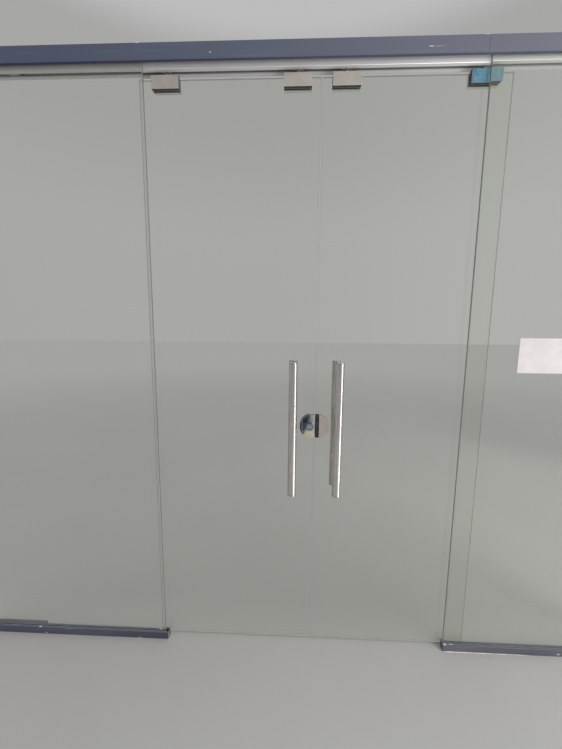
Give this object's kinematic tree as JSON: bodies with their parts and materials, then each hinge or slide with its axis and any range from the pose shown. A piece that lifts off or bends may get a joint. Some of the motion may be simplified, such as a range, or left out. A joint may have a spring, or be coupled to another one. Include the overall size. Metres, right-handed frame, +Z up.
{
  "type": "frameless glass sliding entrance door",
  "caption": "Frameless glass entrance: sliding leaves hung from a header track between fixed panes, with tube pulls and a hook lock at the meeting edges.",
  "frame": {"origin": "on the floor, in the middle of the frame's width and of its depth over the handles; the depth's middle is the middle of the sliding glass", "axes": "+X along the door to the right as seen from outside, +Y into the room, +Z up"},
  "size_m": [3.2, 0.1598, 2.6412],
  "materials": {
    "slate_paint": "satin slate paint",
    "tube_paint": "grey primer",
    "track_aluminium": "satin anodised",
    "stop_metal": "mill finish",
    "black_rubber": "matte",
    "seal_rubber": "matte",
    "clear_glass": "clear float, green edge",
    "channel_paint": "satin slate paint, worn",
    "block_plastic": "matte",
    "guide_plastic": "matte",
    "strip_metal": "satin grey",
    "paper": "plain white paper",
    "blue_film": "thin protective film",
    "lock_mirror": "mirror polished",
    "strike_satin": "satin",
    "dark_case": "dark matte",
    "cylinder_metal": "turned",
    "plug_brass": "plain",
    "hook_steel": "plain",
    "clamp_steel": "satin",
    "carriage_steel": "zinc plated",
    "wheel_plastic": "moulded nylon on a steel axle",
    "pull_steel": "polished satin"
  },
  "bodies": {
    "frame": {"header_tube": "tube_paint", "header_cover": "slate_paint", "track": "track_aluminium", "track_stops": "stop_metal", "stop_buffers": "black_rubber", "fixed_pane_left": "clear_glass", "fixed_pane_right": "clear_glass", "floor_channel_left": "channel_paint", "floor_channel_right": "channel_paint", "wall_channel_left": "channel_paint", "wall_channel_right": "channel_paint", "setting_blocks": "block_plastic", "glazing_seals": "seal_rubber", "floor_guide_left": "guide_plastic", "floor_guide_right": "guide_plastic", "floor_strip": "strip_metal", "paper_label": "paper"},
    "left_leaf": {"leaf_glass_left": "clear_glass", "clamp_shoes_left": "clamp_steel", "glass_pads_left": "black_rubber", "carriages_left": "carriage_steel", "pull_left_front": "pull_steel", "pull_left_back": "pull_steel", "lock_cover_front": "lock_mirror", "lock_cover_back": "lock_mirror", "lock_case": "dark_case", "lock_cylinder": "cylinder_metal"},
    "right_leaf": {"leaf_glass_right": "clear_glass", "clamp_shoes_right": "clamp_steel", "glass_pads_right": "black_rubber", "carriages_right": "carriage_steel", "pull_right_front": "pull_steel", "pull_right_back": "pull_steel", "strike_cover_front": "strike_satin", "strike_cover_back": "strike_satin", "strike_case": "dark_case", "strike_bands": "dark_case", "clamp_film": "blue_film"},
    "lock_spindle": {"lock_plug": "plug_brass", "thumbturn": "lock_mirror", "hook_bolt": "hook_steel"},
    "wheel_left_outer": {"wheel_set_left_outer": "wheel_plastic"},
    "wheel_left_inner": {"wheel_set_left_inner": "wheel_plastic"},
    "wheel_right_outer": {"wheel_set_right_outer": "wheel_plastic"},
    "wheel_right_inner": {"wheel_set_right_inner": "wheel_plastic"}
  },
  "joints": [
    {"name": "left_leaf_slide", "type": "slide", "parent": "frame", "child": "left_leaf", "axis": [-1, 0, 0], "range_m": [0, 0.585]},
    {"name": "right_leaf_slide", "type": "slide", "parent": "frame", "child": "right_leaf", "axis": [1, 0, 0], "range_m": [0, 0.509]},
    {"name": "lock_turn", "type": "hinge", "parent": "left_leaf", "child": "lock_spindle", "pos_m": [0.016, 0, 1.095], "axis": [0, -1, 0], "range_deg": [0, 90]},
    {"name": "wheel_left_outer_roll", "type": "hinge", "parent": "left_leaf", "child": "wheel_left_outer", "pos_m": [-0.595, 0, 2.5753], "axis": [0, 1, 0], "range_deg": [-2100, 0]},
    {"name": "wheel_left_inner_roll", "type": "hinge", "parent": "left_leaf", "child": "wheel_left_inner", "pos_m": [-0.059, 0, 2.5753], "axis": [0, 1, 0], "range_deg": [-2100, 0]},
    {"name": "wheel_right_outer_roll", "type": "hinge", "parent": "right_leaf", "child": "wheel_right_outer", "pos_m": [0.671, 0, 2.5753], "axis": [0, 1, 0], "range_deg": [0, 1830]},
    {"name": "wheel_right_inner_roll", "type": "hinge", "parent": "right_leaf", "child": "wheel_right_inner", "pos_m": [0.135, 0, 2.5753], "axis": [0, 1, 0], "range_deg": [0, 1830]}
  ],
  "couplings": [
    {"joint": "wheel_left_outer_roll", "follows": "left_leaf_slide", "rad_per_m": -62.5},
    {"joint": "wheel_left_inner_roll", "follows": "left_leaf_slide", "rad_per_m": -62.5},
    {"joint": "wheel_right_outer_roll", "follows": "right_leaf_slide", "rad_per_m": 62.5},
    {"joint": "wheel_right_inner_roll", "follows": "right_leaf_slide", "rad_per_m": 62.5}
  ]
}
